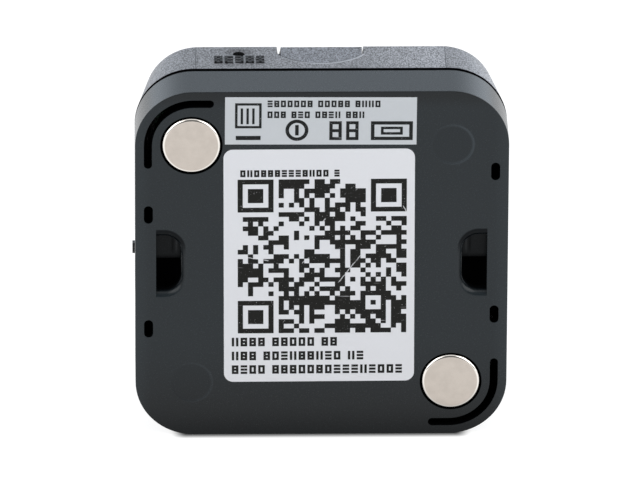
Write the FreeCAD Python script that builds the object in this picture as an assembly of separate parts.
import FreeCAD, Part
import math
import os

# A wireless temperature sensor: a square housing of two moulded shells that two disc
# magnets or two cable ties hold in place, with a circuit board and a coin cell inside.
# Sizes are in millimetres. Seen from behind, +X is to the right and +Z is up, and +Y
# runs from the back face to the front face. The origin is at the middle of the bottom,
# at the depth where the two shells part.

# Housing
CASE_WIDTH = 63.5
CASE_HEIGHT = 63.5
CORNER_RADIUS = 9.9
REAR_DEPTH = 9.9
FRONT_DEPTH = 10.4
WALL = 2.0
REAR_WALL = 2.0
REAR_EDGE_ROUND = 0.12
FRONT_EDGE_ROUND = 0.2
# The front shell's left and right sides lean in towards the front by this much each
SIDE_TAPER = 1.95
FRONT_CORNER_RADIUS = 9.0

# Parting groove, with the rear shell's tongue behind it in the front shell's rebate
GROOVE_WIDTH = 0.7
GROOVE_DEPTH = 0.9
TONGUE_REACH = 1.6
TONGUE_PLAY = 0.1

# Magnets, adhesive pads and pockets
FIXING_SIDE_INSET = 9.57
FIXING_END_INSET = 9.78
MAGNET_DIAMETER = 10.0
MAGNET_THICKNESS = 2.5
MAGNET_EDGE_BEVEL = 0.25
MAGNET_PROUD = 0.2
MAGNET_POCKET_PLAY = 0.3
MAGNET_CUP_WALL = 1.2
MAGNET_PAD_DIAMETER = 9.0
MAGNET_PAD_THICKNESS = 0.2

# Vent slots that follow two corners, and the windows of the snap hooks
SLOT_SIDE_INSET = 2.2
SLOT_END_INSET = 2.18
CORNER_SLOT_WIDTH = 1.38
CORNER_SLOT_RUN = 13.4
CORNER_SLOT_RISE = 14.0
CORNER_SLOT_REACH = 1.5
HOOK_WINDOW_INSET = 2.26
HOOK_WINDOW_WIDTH = 1.55
HOOK_WINDOW_HEIGHT = 3.25
HOOK_WINDOW_CORNER = 0.45
HOOK_LEDGE_RISE = 2.5
HOOK_THICKNESS = 0.9
HOOK_PLAY = 0.15
HOOK_END_PLAY = 0.3
HOOK_CATCH = 0.45
HOOK_TIP_GAP = 0.5
HOOK_TAPER = 1.1
# Each hook: the side it is on, and its height above the middle of the case
HOOK_PLACES = ((-1, 9.22), (-1, -11.93), (1, 16.97), (1, -9.48))

# Cable-tie openings: a D-shaped mouth, a shelf in its upper part and a tunnel that
# leaves through the side, behind a flat bar
TIE_BAR_WIDTH = 3.55
TIE_MOUTH_WIDTH = 4.2
TIE_MOUTH_HEIGHT = 10.0
TIE_MOUTH_CORNER = 2.8
TIE_MOUTH_FLARE = 1.3
TIE_SHELF_HEIGHT = 5.3
TIE_SHELF_DEPTH = 0.7
TIE_SHELF_FALL = 1.0
TIE_TUNNEL_DEPTH = 4.4
TIE_TUNNEL_DROP = 0.6
TIE_SCOOP_RADIUS = 3.0
TIE_BLOCK_WALL = 1.2

# Screw bosses, locating posts and the round marks that the bosses leave outside
BOSS_DIAMETER = 5.6
BOSS_RIB_THICKNESS = 1.0
BOSS_RIB_STEP = 3.0
BOSS_MARK_DIAMETER = 7.0
BOSS_MARK_DEPTH = 0.08
SCREW_DIAMETER = 2.2
SCREW_PLAY = 0.05
SCREW_LENGTH = 7.0
SCREW_HEAD_DIAMETER = 4.2
SCREW_HEAD_HEIGHT = 1.2
SCREW_SOCKET_WIDTH = 1.5
SCREW_SOCKET_DEPTH = 0.7
POST_DIAMETER = 4.0
POST_PIN_DIAMETER = 1.9
POST_PIN_PLAY = 0.1
POST_PIN_LENGTH = 2.2

# Circuit board
BOARD_THICKNESS = 1.6
BOARD_EDGE_GAP = 1.55
BOARD_SCREW_PLAY = 0.2

# Deck of the front shell, which covers the board
DECK_RISE = 1.6
DECK_THICKNESS = 1.2
DECK_OPENING_GAP = 0.5

# Front cover, its seat, and the thumb lip in its notch at the top
COVER_THICKNESS = 1.6
COVER_GAP = 0.2
COVER_SEAT_GAP = 0.1
COVER_EDGE_BEVEL = 0.3
SEAT_WIDTH = 1.2
SEAT_THICKNESS = 1.2
RIB_LENGTH = 16.0
RIB_THICKNESS = 1.0
RIB_DEPTH = 2.0
NOTCH_CENTRE_X = 0.0
NOTCH_WIDTH = 14.9
NOTCH_REACH = 7.5
NOTCH_DEPTH = 1.35
NOTCH_ARC_RADIUS = 8.7
NOTCH_DRAFT = 0.25
NOTCH_PAD_THICKNESS = 1.2
NOTCH_PAD_MARGIN = 1.2
LIP_DROP = 0.15
LIP_FLOOR_GAP = 0.1
LIP_ARC_GAP = 0.12
LIP_LEFT_GAP = 0.75
LIP_RIGHT_GAP = 0.3

# Reset pinhole, in a shallow oval dish, and the switch below it
RESET_X = -13.9
RESET_SETBACK = 2.75
RESET_HOLE_DIAMETER = 2.0
DISH_LENGTH = 6.0
DISH_WIDTH = 3.1
DISH_DEPTH = 0.35
DISH_STEPS = 4
RESET_BODY_WIDTH = 6.0
RESET_BODY_HEIGHT = 3.5
RESET_BODY_MARGIN = 0.9
RESET_PLUNGER_DIAMETER = 1.4
RESET_PLUNGER_LENGTH = 1.0
RESET_PLUNGER_SINK = 0.6
RESET_PLUNGER_PLAY = 0.05
RESET_TRAVEL = 0.25
RESET_WALL_GAP = 0.4

# Power slide switch at the left side
SWITCH_ABOVE_MIDDLE = 0.0
SWITCH_BODY_LENGTH = 6.7
SWITCH_BODY_WIDTH = 3.0
SWITCH_BODY_HEIGHT = 2.0
SWITCH_WALL_GAP = 0.35
LEVER_LENGTH = 1.85
LEVER_HEIGHT = 1.2
LEVER_PROUD = 0.42
LEVER_SINK = 1.6
LEVER_TRAVEL = 1.9
LEVER_PLAY = 0.08
LEVER_WINDOW_GAP = 0.3

# Coin cell, holder and contacts
CELL_X = 0.0
CELL_BELOW_MIDDLE = 3.25
CELL_COVER_GAP = 0.8
CELL_DIAMETER = 24.5
CELL_THICKNESS = 5.0
CELL_EDGE_BEVEL = 0.5
CELL_CAP_DIAMETER = 21.5
CELL_CAP_STEP = 0.4
CELL_PLAY = 0.2
HOLDER_WALL = 1.6
HOLDER_HEIGHT = 4.2
HOLDER_FLOOR_RING = 5.0
HOLDER_FINGER_GAP = 11.0
CONTACT_THICKNESS = 0.3
CONTACT_DIAMETER = 12.0
CONTACT_FINGER_WIDTH = 3.0
CONTACT_SLIT = 0.6
CLIP_WIDTH = 6.0
CLIP_GAP = 0.2
CLIP_REACH = 7.0
CLIP_FOOT = 2.2

# Small parts on the board, each as width, height and thickness off the board
SHIELD_SIZE = (18.0, 14.0, 2.4)
SHIELD_SHEET = 0.3
SHIELD_CORNER = 1.0
SHIELD_X = 9.0
SHIELD_BELOW_TOP = 18.5
CONTROLLER_SIZE = (7.0, 7.0, 0.9)
CONTROLLER_X = -10.0
CONTROLLER_BELOW_TOP = 19.5
CRYSTAL_SIZE = (3.2, 2.5, 0.8)
CRYSTAL_DROP = 7.0
ANTENNA_SIZE = (7.0, 2.0, 1.2)
ANTENNA_X = 9.0
ANTENNA_EDGE_GAP = 1.0
TEMPERATURE_CHIP_SIZE = (3.0, 3.0, 0.9)
TEMPERATURE_CHIP_EDGE_GAP = 0.7
TEMPERATURE_CHIP_ABOVE_MIDDLE = 16.0
THERMAL_SLIT_WIDTH = 1.0
CAPACITOR_SIZE = (1.6, 0.8, 0.8)
CAPACITOR_PITCH = 2.4
CAPACITOR_COUNT = 5
CAPACITOR_X = -14.8
CAPACITOR_BELOW_TOP = 26.5
LED_SIZE = (1.6, 1.6, 0.8)
LIGHT_X = 14.0
LIGHT_BELOW_TOP = 10.5
LIGHT_PIPE_DIAMETER = 2.4
LIGHT_PIPE_PLAY = 0.05
LIGHT_PIPE_GAP = 0.5
LIGHT_PIPE_DECK_GAP = 0.4

# Stickers on the back face, cut to fit between the magnets
LABEL_MAGNET_GAP = 0.93
UPPER_LABEL_HEIGHT = 8.65
UPPER_LABEL_X = -0.24
UPPER_LABEL_BELOW_TOP = 0.98
UPPER_LABEL_THICKNESS = 0.08
UPPER_LABEL_TURN = 0.28
LOWER_LABEL_X = -0.43
LOWER_LABEL_BELOW_TOP = 10.5
LOWER_LABEL_ABOVE_BOTTOM = 9.95
LOWER_LABEL_THICKNESS = 0.12
LOWER_LABEL_CORNER = 1.6
LOWER_LABEL_TURN = -0.18

# Depths and places that follow from the sizes above
OVERLAP = 0.3
BACK = -REAR_DEPTH
REAR_FLOOR = BACK + REAR_WALL
MIDDLE_Z = CASE_HEIGHT / 2
HALF_WIDTH = CASE_WIDTH / 2
FIXING_X = HALF_WIDTH - FIXING_SIDE_INSET
FIXING_TOP_Z = CASE_HEIGHT - FIXING_END_INSET
FIXING_LOW_Z = FIXING_END_INSET
POCKET_FLOOR = BACK - MAGNET_PROUD + MAGNET_THICKNESS + MAGNET_PAD_THICKNESS
CUP_TOP = POCKET_FLOOR + MAGNET_CUP_WALL
COVER_INNER = FRONT_DEPTH - COVER_THICKNESS
CELL_FRONT = COVER_INNER - CELL_COVER_GAP
CELL_REAR = CELL_FRONT - CELL_THICKNESS
CELL_Z = MIDDLE_Z - CELL_BELOW_MIDDLE
BOARD_FRONT = CELL_REAR - CONTACT_THICKNESS
BOARD_REAR = BOARD_FRONT - BOARD_THICKNESS
BOARD_INSET = WALL + BOARD_EDGE_GAP
DECK_REAR = BOARD_FRONT + DECK_RISE
DECK_FRONT = DECK_REAR + DECK_THICKNESS
SEAT_FRONT = COVER_INNER - COVER_SEAT_GAP
SEAT_REAR = SEAT_FRONT - SEAT_THICKNESS
SEAT_INSET = WALL + SEAT_WIDTH
NOTCH_FLOOR = CASE_HEIGHT - NOTCH_DEPTH
NOTCH_APEX = FRONT_DEPTH - NOTCH_REACH
RESET_Y = FRONT_DEPTH - RESET_SETBACK
RESET_PLUNGER_TOP = CASE_HEIGHT - SEAT_INSET - RESET_WALL_GAP
RESET_BODY_TOP = RESET_PLUNGER_TOP - RESET_PLUNGER_LENGTH
SWITCH_Z = MIDDLE_Z + SWITCH_ABOVE_MIDDLE
SWITCH_OUTER_X = -HALF_WIDTH + WALL + SWITCH_WALL_GAP
SWITCH_Y = BOARD_REAR - SWITCH_BODY_HEIGHT / 2
LEVER_REST_Z = SWITCH_Z - LEVER_TRAVEL / 2
HOLDER_INNER_RADIUS = CELL_DIAMETER / 2 + CELL_PLAY
HOLDER_OUTER_RADIUS = HOLDER_INNER_RADIUS + HOLDER_WALL
LIGHT_Z = CASE_HEIGHT - LIGHT_BELOW_TOP
SHIELD_Z = CASE_HEIGHT - SHIELD_BELOW_TOP
CONTROLLER_Z = CASE_HEIGHT - CONTROLLER_BELOW_TOP
CAPACITOR_Z = CASE_HEIGHT - CAPACITOR_BELOW_TOP
LABEL_WIDTH = 2 * (FIXING_X - MAGNET_DIAMETER / 2 - LABEL_MAGNET_GAP)
LOWER_LABEL_HEIGHT = CASE_HEIGHT - LOWER_LABEL_BELOW_TOP - LOWER_LABEL_ABOVE_BOTTOM


def vector(x, y, z):
    return FreeCAD.Vector(x, y, z)


def block(x, y, z):
    """A box between the two limits that each axis gives."""
    corner = vector(x[0], y[0], z[0])
    return Part.makeBox(x[1] - x[0], y[1] - y[0], z[1] - z[0], corner)


def centred_block(x, z, size, y_from, y_to):
    width, height = size[0], size[1]
    return block((x - width / 2, x + width / 2), (y_from, y_to), (z - height / 2, z + height / 2))


def rod_y(x, z, diameter, y_from, y_to):
    """A round bar along the depth."""
    return Part.makeCylinder(diameter / 2, y_to - y_from, vector(x, y_from, z), vector(0, 1, 0))


def rod_z(x, y, diameter, z_from, z_to):
    """An upright round bar."""
    return Part.makeCylinder(diameter / 2, z_to - z_from, vector(x, y, z_from), vector(0, 0, 1))


def runs_along(edge, axis):
    """True for a straight edge along the axis with index 0, 1 or 2."""
    if len(edge.Vertexes) != 2:
        return False
    step = edge.Vertexes[1].Point - edge.Vertexes[0].Point
    return abs(step[axis]) > 0.999 * step.Length


def lies_at_depth(edge, y):
    box = edge.BoundBox
    return abs(box.YMin - y) < 1e-5 and abs(box.YMax - y) < 1e-5


def round_along(shape, axis, radius):
    """Rounds all edges that run along one axis."""
    return shape.makeFillet(radius, [edge for edge in shape.Edges if runs_along(edge, axis)])


def round_at_depth(shape, y, radius):
    """Rounds all edges that lie at one depth."""
    return shape.makeFillet(radius, [edge for edge in shape.Edges if lies_at_depth(edge, y)])


def bevel_at_depth(shape, y, size):
    """Bevels all edges that lie at one depth."""
    return shape.makeChamfer(size, [edge for edge in shape.Edges if lies_at_depth(edge, y)])


def profile_along_z(points, z_from, z_to):
    """A closed outline of (x, y) points, raised from one height to another."""
    corners = [vector(x, y, z_from) for x, y in points]
    outline = Part.makePolygon(corners + corners[:1])
    return Part.Face(outline).extrude(vector(0, 0, z_to - z_from))


def profile_along_x(points, x_from, x_to):
    """A closed outline of (y, z) points, drawn from one width to another."""
    corners = [vector(x_from, y, z) for y, z in points]
    outline = Part.makePolygon(corners + corners[:1])
    return Part.Face(outline).extrude(vector(x_to - x_from, 0, 0))


def profile_along_y(points, y_from, y_to):
    """A closed outline of (x, z) points, drawn from one depth to another."""
    corners = [vector(x, y_from, z) for x, z in points]
    outline = Part.makePolygon(corners + corners[:1])
    return Part.Face(outline).extrude(vector(0, y_to - y_from, 0))


def case_prism(inset, y_from, y_to):
    """The rounded square of the case, moved in from its sides, between two depths."""
    size = (CASE_WIDTH - 2 * inset, CASE_HEIGHT - 2 * inset)
    prism = centred_block(0, MIDDLE_Z, size, y_from, y_to)
    return round_along(prism, 1, max(CORNER_RADIUS - inset, 0.5))


def rounded_block(x, z, size, corner, y_from, y_to):
    return round_along(centred_block(x, z, size, y_from, y_to), 1, corner)


def taper_share(y):
    """How far along the front shell a depth is: 0 where it parts, 1 at the front."""
    return (y - GROOVE_WIDTH / 2) / (FRONT_DEPTH - GROOVE_WIDTH / 2)


def front_section(inset, y):
    """Half the front shell's width and its corner radius at one depth, moved in from its sides."""
    share = taper_share(y)
    corner = CORNER_RADIUS + share * (FRONT_CORNER_RADIUS - CORNER_RADIUS)
    return HALF_WIDTH - share * SIDE_TAPER - inset, corner - inset


def round_between(shape, start, end, radii):
    """Rounds the edge between two corners, with one radius at each of them."""
    for edge in shape.Edges:
        tips = [vertex.Point for vertex in edge.Vertexes]
        if tips[0].isEqual(start, 1e-6) and tips[-1].isEqual(end, 1e-6):
            return shape.makeFillet(radii[0], radii[1], [edge])
        if tips[0].isEqual(end, 1e-6) and tips[-1].isEqual(start, 1e-6):
            return shape.makeFillet(radii[1], radii[0], [edge])


def front_prism(inset, y_from, y_to):
    """The front shell's leaning outline, moved in from its sides, between two depths."""
    rear_y, front_y = -1, FRONT_DEPTH + 1
    rear, rear_corner = front_section(inset, rear_y)
    front, front_corner = front_section(inset, front_y)
    points = [(-rear, rear_y), (rear, rear_y), (front, front_y), (-front, front_y)]
    heights = (inset, CASE_HEIGHT - inset)
    prism = profile_along_z(points, *heights)
    for side in (-1, 1):
        for z in heights:
            start, end = vector(side * rear, rear_y, z), vector(side * front, front_y, z)
            prism = round_between(prism, start, end, (rear_corner, front_corner))
    return prism.common(block((-CASE_WIDTH, CASE_WIDTH), (y_from, y_to), (-1, CASE_HEIGHT + 1)))


def on_side(shape, side):
    """A shape made for the right side, or its mirror image for the left."""
    if side > 0:
        return shape
    return shape.mirror(vector(0, 0, 0), vector(1, 0, 0))


def magnet_places():
    return ((-FIXING_X, FIXING_TOP_Z), (FIXING_X, FIXING_LOW_Z))


def boss_places():
    return ((FIXING_X, FIXING_TOP_Z), (-FIXING_X, FIXING_LOW_Z))


def slot_prism(shift, y_from, y_to):
    """The rounded rectangle that the corner slots follow, moved in by a shift."""
    size = (CASE_WIDTH - 2 * (SLOT_SIDE_INSET + shift), CASE_HEIGHT - 2 * (SLOT_END_INSET + shift))
    corner = CORNER_RADIUS - (SLOT_SIDE_INSET + SLOT_END_INSET) / 2 - shift
    return rounded_block(0, MIDDLE_Z, size, corner, y_from, y_to)


def corner_slot():
    """The vent slot of the top left corner: two legs and the arc between them."""
    half = CORNER_SLOT_WIDTH / 2
    y_from, y_to = BACK - OVERLAP, REAR_FLOOR + CORNER_SLOT_REACH
    band = slot_prism(-half, y_from, y_to).cut(slot_prism(half, y_from, y_to))
    tip_x = -HALF_WIDTH + CORNER_SLOT_RUN - half
    tip_z = CASE_HEIGHT - CORNER_SLOT_RISE + half
    slot = band.common(block((-HALF_WIDTH, tip_x), (y_from, y_to), (tip_z, CASE_HEIGHT)))
    side_end = rod_y(-HALF_WIDTH + SLOT_SIDE_INSET, tip_z, CORNER_SLOT_WIDTH, y_from, y_to)
    top_end = rod_y(tip_x, CASE_HEIGHT - SLOT_END_INSET, CORNER_SLOT_WIDTH, y_from, y_to)
    return slot.fuse([side_end, top_end])


def hook_window(height):
    """The slot beside a snap hook, with the pocket that its nose catches in."""
    size = (HOOK_WINDOW_WIDTH, HOOK_WINDOW_HEIGHT)
    x = HALF_WIDTH - HOOK_WINDOW_INSET
    y_to = REAR_FLOOR + HOOK_LEDGE_RISE
    return rounded_block(x, MIDDLE_Z + height, size, HOOK_WINDOW_CORNER, BACK - OVERLAP, y_to)


def snap_hook(height):
    """A sprung arm from the front shell with a nose that turns outwards."""
    outer = HALF_WIDTH - WALL - HOOK_PLAY
    inner = outer - HOOK_THICKNESS
    nose = outer + HOOK_CATCH
    tip = REAR_FLOOR + HOOK_TIP_GAP
    catch = REAR_FLOOR + HOOK_LEDGE_RISE - HOOK_END_PLAY
    root = TONGUE_REACH + 2 * TONGUE_PLAY + OVERLAP
    wall = HALF_WIDTH - WALL + OVERLAP
    points = [
        (wall, DECK_REAR + OVERLAP), (inner, DECK_REAR + OVERLAP), (inner, tip + HOOK_TAPER / 2),
        (inner + HOOK_THICKNESS / 3, tip), (outer, tip), (nose, tip + HOOK_TAPER), (nose, catch),
        (outer, catch), (outer, root), (wall, root),
    ]
    half = HOOK_WINDOW_HEIGHT / 2 - HOOK_END_PLAY
    z = MIDDLE_Z + height
    return profile_along_z(points, z - half, z + half)


def tie_mouth_prism(y_from, y_to):
    """The D-shaped mouth of the right-hand opening: its straight side is the bar."""
    bar = HALF_WIDTH - TIE_BAR_WIDTH
    size = (2 * TIE_MOUTH_WIDTH, TIE_MOUTH_HEIGHT)
    whole = rounded_block(bar, MIDDLE_Z, size, TIE_MOUTH_CORNER, y_from, y_to)
    return whole.common(inside_of_bar(y_from, y_to))


def inside_of_bar(y_from, y_to):
    bar = HALF_WIDTH - TIE_BAR_WIDTH
    return block((0, bar), (y_from - 1, y_to + 1), (0, CASE_HEIGHT))


def tie_mouth_flare():
    """What the soft rounding of the mouth takes away, on all sides but the bar's."""
    bar = HALF_WIDTH - TIE_BAR_WIDTH
    flare = min(TIE_MOUTH_FLARE, 0.9 * REAR_WALL)
    margin = 4 * flare
    size = (2 * TIE_MOUTH_WIDTH, TIE_MOUTH_HEIGHT)
    plate_size = (size[0] + margin, size[1] + margin)
    plate = centred_block(bar, MIDDLE_Z, plate_size, BACK, REAR_FLOOR)
    hole = rounded_block(bar, MIDDLE_Z, size, TIE_MOUTH_CORNER, BACK, REAR_FLOOR)
    pierced = plate.cut(hole)
    inner_rim = []
    for edge in pierced.Edges:
        reach = abs(edge.CenterOfMass.x - bar) < size[0] / 2 + 0.1
        if lies_at_depth(edge, BACK) and reach and abs(edge.CenterOfMass.z - MIDDLE_Z) < size[1] / 2 + 0.1:
            inner_rim.append(edge)
    flared = pierced.makeFillet(flare, inner_rim)
    return plate.cut(flared).common(inside_of_bar(BACK, REAR_FLOOR))


def tie_levels():
    """Heights of the tunnel's bottom, of the shelf and of the mouth's top."""
    bottom = MIDDLE_Z - TIE_MOUTH_HEIGHT / 2 - TIE_TUNNEL_DROP
    top = MIDDLE_Z + TIE_MOUTH_HEIGHT / 2
    return bottom, top - TIE_SHELF_HEIGHT, top


def tie_tunnel():
    """The tunnel behind the bar, with a scooped inner end that turns the tie outwards."""
    bottom, shelf, top = tie_levels()
    inner = HALF_WIDTH - TIE_BAR_WIDTH - TIE_MOUTH_WIDTH
    back = REAR_FLOOR + TIE_TUNNEL_DEPTH
    tunnel = block((inner, HALF_WIDTH + 1), (REAR_FLOOR - 0.01, back), (bottom, shelf))
    scoop = []
    for edge in tunnel.Edges:
        middle = edge.CenterOfMass
        if runs_along(edge, 2) and abs(middle.x - inner) < 1e-5 and abs(middle.y - back) < 1e-5:
            scoop.append(edge)
    return tunnel.makeFillet(min(TIE_SCOOP_RADIUS, 0.9 * TIE_TUNNEL_DEPTH), scoop)


def tie_shelf():
    """The shallow upper part of the mouth, whose floor slopes down into the tunnel."""
    bottom, shelf, top = tie_levels()
    upper = REAR_FLOOR + TIE_SHELF_DEPTH
    lower = upper + TIE_SHELF_FALL
    points = [(BACK, shelf - 0.01), (lower, shelf - 0.01), (upper, top), (BACK, top)]
    wedge = profile_along_x(points, 0, HALF_WIDTH)
    return wedge.common(tie_mouth_prism(BACK, lower))


def tie_block():
    """The walls that close the tunnel off from the inside of the case."""
    bottom, shelf, top = tie_levels()
    inner = HALF_WIDTH - TIE_BAR_WIDTH - TIE_MOUTH_WIDTH - TIE_BLOCK_WALL
    back = REAR_FLOOR + TIE_TUNNEL_DEPTH + TIE_BLOCK_WALL
    z = (bottom - TIE_BLOCK_WALL, top + TIE_BLOCK_WALL)
    return block((inner, HALF_WIDTH - WALL + OVERLAP), (REAR_FLOOR - OVERLAP, back), z)


def lever_window():
    """The opening in both shells for the travel of the power switch's lever."""
    half = (LEVER_LENGTH + LEVER_TRAVEL) / 2 + LEVER_WINDOW_GAP
    half_height = LEVER_HEIGHT / 2 + LEVER_WINDOW_GAP
    x = (-HALF_WIDTH - 1, -HALF_WIDTH + WALL + OVERLAP)
    return block(x, (SWITCH_Y - half_height, SWITCH_Y + half_height), (SWITCH_Z - half, SWITCH_Z + half))


def boss_ribs(x, z):
    """Two low ribs that brace a boss against the nearest side walls."""
    top = BOARD_REAR - BOSS_RIB_STEP
    half = BOSS_RIB_THICKNESS / 2
    wall_x = math.copysign(HALF_WIDTH - WALL + OVERLAP, x)
    wall_z = CASE_HEIGHT - WALL + OVERLAP if z > MIDDLE_Z else WALL - OVERLAP
    y = (REAR_FLOOR - OVERLAP, top)
    across = block((min(x, wall_x), max(x, wall_x)), y, (z - half, z + half))
    upright = block((x - half, x + half), y, (min(z, wall_z), max(z, wall_z)))
    return [across, upright]


def rear_shell():
    shell = round_at_depth(case_prism(0, BACK, -GROOVE_WIDTH / 2), BACK, REAR_EDGE_ROUND)
    tongue = case_prism(GROOVE_DEPTH, -GROOVE_WIDTH / 2 - OVERLAP, TONGUE_REACH)
    shell = shell.fuse(tongue)
    shell = shell.cut(case_prism(WALL, REAR_FLOOR, TONGUE_REACH + 1))

    inside = []
    for x, z in magnet_places():
        cup = MAGNET_DIAMETER + 2 * (MAGNET_POCKET_PLAY + MAGNET_CUP_WALL)
        inside.append(rod_y(x, z, cup, REAR_FLOOR - OVERLAP, CUP_TOP))
        inside.append(rod_y(x, z, POST_DIAMETER, CUP_TOP - OVERLAP, BOARD_REAR))
        inside.append(rod_y(x, z, POST_PIN_DIAMETER, BOARD_REAR - OVERLAP, BOARD_REAR + POST_PIN_LENGTH))
    for x, z in boss_places():
        inside.append(rod_y(x, z, BOSS_DIAMETER, REAR_FLOOR - OVERLAP, BOARD_REAR))
        inside.extend(boss_ribs(x, z))
    inside.append(tie_block())
    inside.append(on_side(tie_block(), -1))
    shell = shell.fuse(inside)

    holes = [corner_slot()]
    holes.append(corner_slot().rotated(vector(0, 0, MIDDLE_Z), vector(0, 1, 0), 180))
    for side, height in HOOK_PLACES:
        holes.append(on_side(hook_window(height), side))
    for side in (-1, 1):
        holes.append(on_side(tie_mouth_prism(BACK - OVERLAP, REAR_FLOOR), side))
        holes.append(on_side(tie_mouth_flare(), side))
        holes.append(on_side(tie_shelf(), side))
        holes.append(on_side(tie_tunnel(), side))
    for x, z in magnet_places():
        pocket = MAGNET_DIAMETER + 2 * MAGNET_POCKET_PLAY
        holes.append(rod_y(x, z, pocket, BACK - OVERLAP, POCKET_FLOOR))
    for x, z in boss_places():
        pilot = SCREW_DIAMETER + 2 * SCREW_PLAY
        holes.append(rod_y(x, z, pilot, BOARD_FRONT - SCREW_LENGTH - 0.5, BOARD_REAR + OVERLAP))
        holes.append(rod_y(x, z, BOSS_MARK_DIAMETER, BACK - OVERLAP, BACK + BOSS_MARK_DEPTH))
    holes.append(lever_window())
    return shell.cut(holes)


def notch_arc_prism(radius, z_from, z_to):
    """The round inner end of the thumb notch, open towards the front."""
    centre_y = NOTCH_APEX + NOTCH_ARC_RADIUS
    disc = rod_z(NOTCH_CENTRE_X, centre_y, 2 * radius, z_from, z_to)
    x = (NOTCH_CENTRE_X - radius, NOTCH_CENTRE_X + radius)
    return disc.fuse(block(x, (centre_y, FRONT_DEPTH + radius), (z_from, z_to)))


def notch_space():
    left = NOTCH_CENTRE_X - NOTCH_WIDTH / 2
    right = NOTCH_CENTRE_X + NOTCH_WIDTH / 2
    top = CASE_HEIGHT + OVERLAP
    low_left, low_right = left + NOTCH_DRAFT, right - NOTCH_DRAFT
    points = [(left, top), (low_left, NOTCH_FLOOR), (low_right, NOTCH_FLOOR), (right, top)]
    sides = profile_along_y(points, NOTCH_APEX - 1, FRONT_DEPTH + 1)
    return sides.common(notch_arc_prism(NOTCH_ARC_RADIUS, NOTCH_FLOOR, top))


def lip_sides():
    """Left and right limits of the thumb lip at its top."""
    left = NOTCH_CENTRE_X - NOTCH_WIDTH / 2 + LIP_LEFT_GAP
    right = NOTCH_CENTRE_X + NOTCH_WIDTH / 2 - LIP_RIGHT_GAP
    return left, right


def lip_neck(gap):
    """The bridge from the cover's panel up into the lip, or its space with a gap round it."""
    left, right = lip_sides()
    inner_y = COVER_INNER - (COVER_SEAT_GAP if gap else 0)
    outer_y = FRONT_DEPTH + (1 if gap else 0)
    low = CASE_HEIGHT - WALL - COVER_GAP - OVERLAP
    return block((left - gap, right + gap), (inner_y, outer_y), (low, NOTCH_FLOOR + OVERLAP))


def reset_dish():
    """An oval hollow: a shallow curve in short runs, turned about an axis above the top face."""
    rise = ((DISH_WIDTH / 2) ** 2 - DISH_DEPTH ** 2) / (2 * DISH_DEPTH)
    half = DISH_LENGTH / 2
    axis_z = CASE_HEIGHT + rise
    points = [vector(RESET_X - half, RESET_Y, axis_z)]
    for index in range(DISH_STEPS + 1):
        share = 2 * index / DISH_STEPS - 1
        drop = DISH_DEPTH * (1 - share ** 2)
        points.append(vector(RESET_X + share * half, RESET_Y, CASE_HEIGHT - drop))
    points.append(vector(RESET_X + half, RESET_Y, axis_z))
    outline = Part.makePolygon(points + points[:1])
    return Part.Face(outline).revolve(points[0], vector(1, 0, 0), 360)


def deck_openings():
    """Openings of the deck for the cell holder, its clip, the reset switch and the light."""
    y_from, y_to = DECK_REAR - 1, DECK_FRONT + 1
    bay = 2 * (HOLDER_OUTER_RADIUS + DECK_OPENING_GAP)
    clip_outer = HOLDER_OUTER_RADIUS + CLIP_GAP + CONTACT_THICKNESS + CLIP_FOOT + DECK_OPENING_GAP
    clip_half = CLIP_WIDTH / 2 + DECK_OPENING_GAP
    clip = block((CELL_X, CELL_X + clip_outer), (y_from, y_to), (CELL_Z - clip_half, CELL_Z + clip_half))
    reset_half = RESET_BODY_WIDTH / 2 + DECK_OPENING_GAP
    reset_low = RESET_BODY_TOP - RESET_BODY_HEIGHT - DECK_OPENING_GAP
    reset = block((RESET_X - reset_half, RESET_X + reset_half), (y_from, y_to),
                  (reset_low, RESET_BODY_TOP + DECK_OPENING_GAP))
    pipe = LIGHT_PIPE_DIAMETER + 2 * LIGHT_PIPE_DECK_GAP
    light = rod_y(LIGHT_X, LIGHT_Z, pipe, y_from, y_to)
    return [rod_y(CELL_X, CELL_Z, bay, y_from, y_to), clip, reset, light]


def front_shell():
    shell = round_at_depth(front_prism(0, GROOVE_WIDTH / 2, FRONT_DEPTH), FRONT_DEPTH, FRONT_EDGE_ROUND)
    shell = shell.cut(front_prism(WALL, GROOVE_WIDTH / 2 - 1, FRONT_DEPTH + 1))
    shell = shell.cut(case_prism(GROOVE_DEPTH - TONGUE_PLAY, 0, TONGUE_REACH + TONGUE_PLAY))

    deck = front_prism(WALL - OVERLAP, DECK_REAR, DECK_FRONT).cut(deck_openings())
    seat = front_prism(WALL - OVERLAP, SEAT_REAR, SEAT_FRONT)
    seat = seat.cut(front_prism(SEAT_INSET, SEAT_REAR - 1, SEAT_FRONT + 1))
    half = NOTCH_WIDTH / 2 + NOTCH_PAD_MARGIN
    pad_low = CASE_HEIGHT - WALL - NOTCH_PAD_THICKNESS
    pad_rear = TONGUE_REACH + TONGUE_PLAY + OVERLAP
    pad = block((NOTCH_CENTRE_X - half, NOTCH_CENTRE_X + half), (pad_rear, SEAT_FRONT),
                (pad_low, CASE_HEIGHT - WALL + OVERLAP))
    hooks = [on_side(snap_hook(height), side) for side, height in HOOK_PLACES]
    shell = shell.fuse([deck, seat, pad] + hooks)

    pinhole = rod_z(RESET_X, RESET_Y, RESET_HOLE_DIAMETER, RESET_PLUNGER_TOP, CASE_HEIGHT + 1)
    return shell.cut([notch_space(), lip_neck(COVER_GAP), reset_dish(), pinhole, lever_window()])


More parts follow.
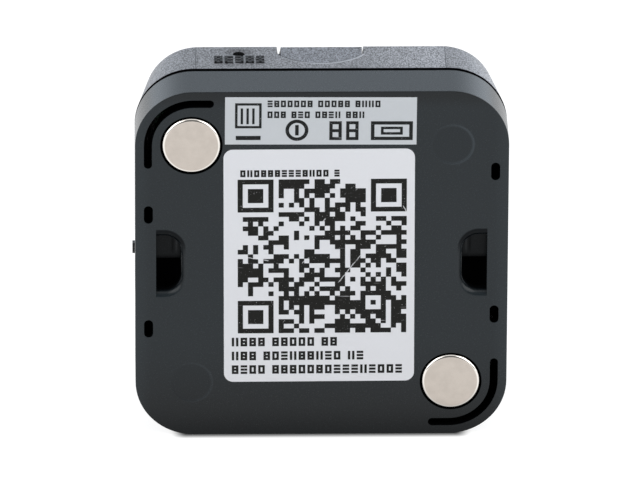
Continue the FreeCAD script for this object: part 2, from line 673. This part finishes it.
def cover_ribs():
    """Ribs behind the cover that centre it inside its seat, left, right and below."""
    outer = SEAT_INSET + COVER_GAP
    side_x = HALF_WIDTH - taper_share(SEAT_FRONT) * SIDE_TAPER - outer
    y = (COVER_INNER - RIB_DEPTH, COVER_INNER + OVERLAP)
    half = RIB_LENGTH / 2
    side = block((side_x - RIB_THICKNESS, side_x), y, (MIDDLE_Z - half, MIDDLE_Z + half))
    low = block((-half, half), y, (outer, outer + RIB_THICKNESS))
    return [side, on_side(side, -1), low]


def front_cover():
    inset = WALL + COVER_GAP
    size = (CASE_WIDTH - 2 * (SIDE_TAPER + inset), CASE_HEIGHT - 2 * inset)
    panel = rounded_block(0, MIDDLE_Z, size, FRONT_CORNER_RADIUS - inset, COVER_INNER, FRONT_DEPTH)
    panel = bevel_at_depth(panel, FRONT_DEPTH, COVER_EDGE_BEVEL)
    left, right = lip_sides()
    top = CASE_HEIGHT - LIP_DROP
    floor = NOTCH_FLOOR + LIP_FLOOR_GAP
    points = [(left, top), (left - NOTCH_DRAFT, floor), (right - NOTCH_DRAFT, floor), (right, top)]
    sides = profile_along_y(points, NOTCH_APEX, FRONT_DEPTH)
    lip = sides.common(notch_arc_prism(NOTCH_ARC_RADIUS - LIP_ARC_GAP, floor, top))
    cover = panel.fuse([lip, lip_neck(0)] + cover_ribs())
    hole = LIGHT_PIPE_DIAMETER + 2 * LIGHT_PIPE_PLAY
    return cover.cut(rod_y(LIGHT_X, LIGHT_Z, hole, COVER_INNER - 1, FRONT_DEPTH + 1))


def magnet(x, z):
    disc = rod_y(x, z, MAGNET_DIAMETER, BACK - MAGNET_PROUD, BACK - MAGNET_PROUD + MAGNET_THICKNESS)
    return bevel_at_depth(disc, BACK - MAGNET_PROUD, MAGNET_EDGE_BEVEL)


def magnet_pads():
    pads = []
    for x, z in magnet_places():
        pads.append(rod_y(x, z, MAGNET_PAD_DIAMETER, POCKET_FLOOR - MAGNET_PAD_THICKNESS, POCKET_FLOOR))
    return Part.makeCompound(pads)


def upper_label():
    z = CASE_HEIGHT - UPPER_LABEL_BELOW_TOP - UPPER_LABEL_HEIGHT / 2
    size = (LABEL_WIDTH, UPPER_LABEL_HEIGHT)
    sheet = centred_block(UPPER_LABEL_X, z, size, BACK - UPPER_LABEL_THICKNESS, BACK)
    return sheet.rotated(vector(UPPER_LABEL_X, 0, z), vector(0, 1, 0), UPPER_LABEL_TURN)


def lower_label():
    z = CASE_HEIGHT - LOWER_LABEL_BELOW_TOP - LOWER_LABEL_HEIGHT / 2
    size = (LABEL_WIDTH, LOWER_LABEL_HEIGHT)
    sheet = rounded_block(LOWER_LABEL_X, z, size, LOWER_LABEL_CORNER, BACK - LOWER_LABEL_THICKNESS, BACK)
    return sheet.rotated(vector(LOWER_LABEL_X, 0, z), vector(0, 1, 0), LOWER_LABEL_TURN)


def temperature_chip_place():
    x = -HALF_WIDTH + BOARD_INSET + TEMPERATURE_CHIP_EDGE_GAP + TEMPERATURE_CHIP_SIZE[0] / 2
    return x, MIDDLE_Z + TEMPERATURE_CHIP_ABOVE_MIDDLE


def circuit_board():
    board = case_prism(BOARD_INSET, BOARD_REAR, BOARD_FRONT)
    y_from, y_to = BOARD_REAR - 1, BOARD_FRONT + 1
    holes = []
    for x, z in boss_places():
        holes.append(rod_y(x, z, SCREW_DIAMETER + 2 * BOARD_SCREW_PLAY, y_from, y_to))
    for x, z in magnet_places():
        holes.append(rod_y(x, z, POST_PIN_DIAMETER + 2 * POST_PIN_PLAY, y_from, y_to))
    x, z = temperature_chip_place()
    reach = TEMPERATURE_CHIP_SIZE[0] / 2 + THERMAL_SLIT_WIDTH
    rise = TEMPERATURE_CHIP_SIZE[1] / 2 + THERMAL_SLIT_WIDTH
    holes.append(block((x + reach - THERMAL_SLIT_WIDTH / 2, x + reach + THERMAL_SLIT_WIDTH / 2),
                       (y_from, y_to), (z - rise, z + rise)))
    holes.append(block((x - reach / 2, x + reach), (y_from, y_to), (z - rise - THERMAL_SLIT_WIDTH / 2,
                                                                     z - rise + THERMAL_SLIT_WIDTH / 2)))
    return board.cut(holes)


def board_screw(x, z):
    """A pan-head screw with a square socket, driven from the front into its boss."""
    head = rod_y(x, z, SCREW_HEAD_DIAMETER, BOARD_FRONT, BOARD_FRONT + SCREW_HEAD_HEIGHT)
    head = bevel_at_depth(head, BOARD_FRONT + SCREW_HEAD_HEIGHT, SCREW_HEAD_HEIGHT / 3)
    shank = rod_y(x, z, SCREW_DIAMETER, BOARD_FRONT - SCREW_LENGTH, BOARD_FRONT + OVERLAP)
    shank = bevel_at_depth(shank, BOARD_FRONT - SCREW_LENGTH, SCREW_DIAMETER / 4)
    socket_floor = BOARD_FRONT + SCREW_HEAD_HEIGHT - SCREW_SOCKET_DEPTH
    size = (SCREW_SOCKET_WIDTH, SCREW_SOCKET_WIDTH)
    socket = centred_block(x, z, size, socket_floor, BOARD_FRONT + SCREW_HEAD_HEIGHT + 1)
    return head.fuse(shank).cut(socket)


def coin_cell():
    """The can with its bevelled front edge, and the smaller cap towards the board."""
    can = rod_y(CELL_X, CELL_Z, CELL_DIAMETER, CELL_REAR + CELL_CAP_STEP, CELL_FRONT)
    can = bevel_at_depth(can, CELL_FRONT, CELL_EDGE_BEVEL)
    cap = rod_y(CELL_X, CELL_Z, CELL_CAP_DIAMETER, CELL_REAR, CELL_REAR + CELL_CAP_STEP + OVERLAP)
    return can.fuse(cap)


def battery_holder():
    """A cup for the cell, open below for a fingertip, on a flat ring."""
    top = BOARD_FRONT + HOLDER_HEIGHT
    cup = rod_y(CELL_X, CELL_Z, 2 * HOLDER_OUTER_RADIUS, BOARD_FRONT, top)
    cup = cup.cut(rod_y(CELL_X, CELL_Z, 2 * HOLDER_INNER_RADIUS, CELL_REAR, top + 1))
    floor_hole = 2 * (HOLDER_INNER_RADIUS - HOLDER_FLOOR_RING)
    cup = cup.cut(rod_y(CELL_X, CELL_Z, floor_hole, BOARD_FRONT - 1, top))
    half = HOLDER_FINGER_GAP / 2
    finger = block((CELL_X - half, CELL_X + half), (CELL_REAR, top + 1),
                   (CELL_Z - HOLDER_OUTER_RADIUS - 1, CELL_Z))
    return cup.cut(finger)


def negative_contact():
    """A thin disc with a sprung finger that two slits leave free."""
    disc = rod_y(CELL_X, CELL_Z, CONTACT_DIAMETER, BOARD_FRONT, CELL_REAR)
    slits = []
    for side in (-1, 1):
        x = CELL_X + side * (CONTACT_FINGER_WIDTH + CONTACT_SLIT) / 2
        limits = (x - CONTACT_SLIT / 2, x + CONTACT_SLIT / 2)
        slits.append(block(limits, (BOARD_FRONT - 1, CELL_REAR + 1),
                           (CELL_Z - CONTACT_DIAMETER / 4, CELL_Z + CONTACT_DIAMETER)))
    return disc.cut(slits)


def positive_clip():
    """A bent strip: a foot on the board, a leg beside the holder, an arm over the cell."""
    leg = CELL_X + HOLDER_OUTER_RADIUS + CLIP_GAP
    outer = leg + CONTACT_THICKNESS
    arm_end = CELL_X + CELL_DIAMETER / 2 - CLIP_REACH
    top = CELL_FRONT + CONTACT_THICKNESS
    points = [
        (outer + CLIP_FOOT, BOARD_FRONT), (leg, BOARD_FRONT), (leg, CELL_FRONT), (arm_end, CELL_FRONT),
        (arm_end, top), (outer, top), (outer, CELL_REAR), (outer + CLIP_FOOT, CELL_REAR),
    ]
    return profile_along_z(points, CELL_Z - CLIP_WIDTH / 2, CELL_Z + CLIP_WIDTH / 2)


def power_switch_body():
    """The switch's case under the board's left edge, with a slot that the lever runs in."""
    y = (BOARD_REAR - SWITCH_BODY_HEIGHT, BOARD_REAR)
    half = SWITCH_BODY_LENGTH / 2
    body = block((SWITCH_OUTER_X, SWITCH_OUTER_X + SWITCH_BODY_WIDTH), y, (SWITCH_Z - half, SWITCH_Z + half))
    half_slot = (LEVER_LENGTH + LEVER_TRAVEL) / 2 + LEVER_PLAY
    half_height = LEVER_HEIGHT / 2 + LEVER_PLAY
    slot_y = (SWITCH_Y - half_height, SWITCH_Y + half_height)
    slot_z = (SWITCH_Z - half_slot, SWITCH_Z + half_slot)
    slot = block((SWITCH_OUTER_X - 1, SWITCH_OUTER_X + LEVER_SINK + LEVER_PLAY), slot_y, slot_z)
    return body.cut(slot)


def power_switch_lever():
    x = (-HALF_WIDTH - LEVER_PROUD, SWITCH_OUTER_X + LEVER_SINK)
    y = (SWITCH_Y - LEVER_HEIGHT / 2, SWITCH_Y + LEVER_HEIGHT / 2)
    return block(x, y, (LEVER_REST_Z - LEVER_LENGTH / 2, LEVER_REST_Z + LEVER_LENGTH / 2))


def reset_switch_body():
    """A side-pressed switch that stands on the board, bored for its plunger."""
    size = (RESET_BODY_WIDTH, RESET_BODY_HEIGHT)
    z = RESET_BODY_TOP - RESET_BODY_HEIGHT / 2
    body = centred_block(RESET_X, z, size, BOARD_FRONT, RESET_Y + RESET_BODY_MARGIN)
    bore = RESET_PLUNGER_DIAMETER + 2 * RESET_PLUNGER_PLAY
    depth = RESET_PLUNGER_SINK + RESET_TRAVEL + 2 * RESET_PLUNGER_PLAY
    return body.cut(rod_z(RESET_X, RESET_Y, bore, RESET_BODY_TOP - depth, RESET_BODY_TOP + 1))


def reset_plunger():
    low = RESET_BODY_TOP - RESET_PLUNGER_SINK
    return rod_z(RESET_X, RESET_Y, RESET_PLUNGER_DIAMETER, low, RESET_PLUNGER_TOP)


def chip_behind_board(x, z, size):
    """A small part soldered to the rear side of the board."""
    return centred_block(x, z, size, BOARD_REAR - size[2], BOARD_REAR)


def radio_shield():
    """A sheet-metal can, open towards the board."""
    rear = BOARD_REAR - SHIELD_SIZE[2]
    outer = rounded_block(SHIELD_X, SHIELD_Z, SHIELD_SIZE, SHIELD_CORNER, rear, BOARD_REAR)
    size = (SHIELD_SIZE[0] - 2 * SHIELD_SHEET, SHIELD_SIZE[1] - 2 * SHIELD_SHEET)
    corner = SHIELD_CORNER - SHIELD_SHEET
    return outer.cut(rounded_block(SHIELD_X, SHIELD_Z, size, corner, rear + SHIELD_SHEET, BOARD_REAR + 1))


def capacitors():
    row = []
    for index in range(CAPACITOR_COUNT):
        x = CAPACITOR_X + index * CAPACITOR_PITCH
        row.append(chip_behind_board(x, CAPACITOR_Z, CAPACITOR_SIZE))
    return Part.makeCompound(row)


def chip_antenna():
    z = CASE_HEIGHT - BOARD_INSET - ANTENNA_EDGE_GAP - ANTENNA_SIZE[1] / 2
    return chip_behind_board(ANTENNA_X, z, ANTENNA_SIZE)


def status_led():
    return centred_block(LIGHT_X, LIGHT_Z, LED_SIZE, BOARD_FRONT, BOARD_FRONT + LED_SIZE[2])


def light_pipe():
    y_from = BOARD_FRONT + LED_SIZE[2] + LIGHT_PIPE_GAP
    return rod_y(LIGHT_X, LIGHT_Z, LIGHT_PIPE_DIAMETER, y_from, FRONT_DEPTH)


def all_parts():
    upper, lower = magnet_places()
    chip_x, chip_z = temperature_chip_place()
    return {
        "rear_shell": rear_shell(),
        "front_shell": front_shell(),
        "front_cover": front_cover(),
        "upper_magnet": magnet(*upper),
        "lower_magnet": magnet(*lower),
        "magnet_pads": magnet_pads(),
        "upper_label": upper_label(),
        "lower_label": lower_label(),
        "circuit_board": circuit_board(),
        "board_screws": Part.makeCompound([board_screw(x, z) for x, z in boss_places()]),
        "coin_cell": coin_cell(),
        "battery_holder": battery_holder(),
        "negative_contact": negative_contact(),
        "positive_clip": positive_clip(),
        "power_switch_body": power_switch_body(),
        "power_switch_lever": power_switch_lever(),
        "reset_switch_body": reset_switch_body(),
        "reset_plunger": reset_plunger(),
        "radio_shield": radio_shield(),
        "controller_chip": chip_behind_board(CONTROLLER_X, CONTROLLER_Z, CONTROLLER_SIZE),
        "timing_crystal": chip_behind_board(CONTROLLER_X, CONTROLLER_Z + CRYSTAL_DROP, CRYSTAL_SIZE),
        "chip_antenna": chip_antenna(),
        "temperature_chip": chip_behind_board(chip_x, chip_z, TEMPERATURE_CHIP_SIZE),
        "capacitors": capacitors(),
        "status_led": status_led(),
        "light_pipe": light_pipe(),
    }


os.makedirs("parts", exist_ok=True)
for name, shape in all_parts().items():
    shape.exportStep("parts/" + name + ".step")
    print(f"{name:20s} solids {len(shape.Solids)} volume {shape.Volume:9.2f} valid {shape.isValid()}")
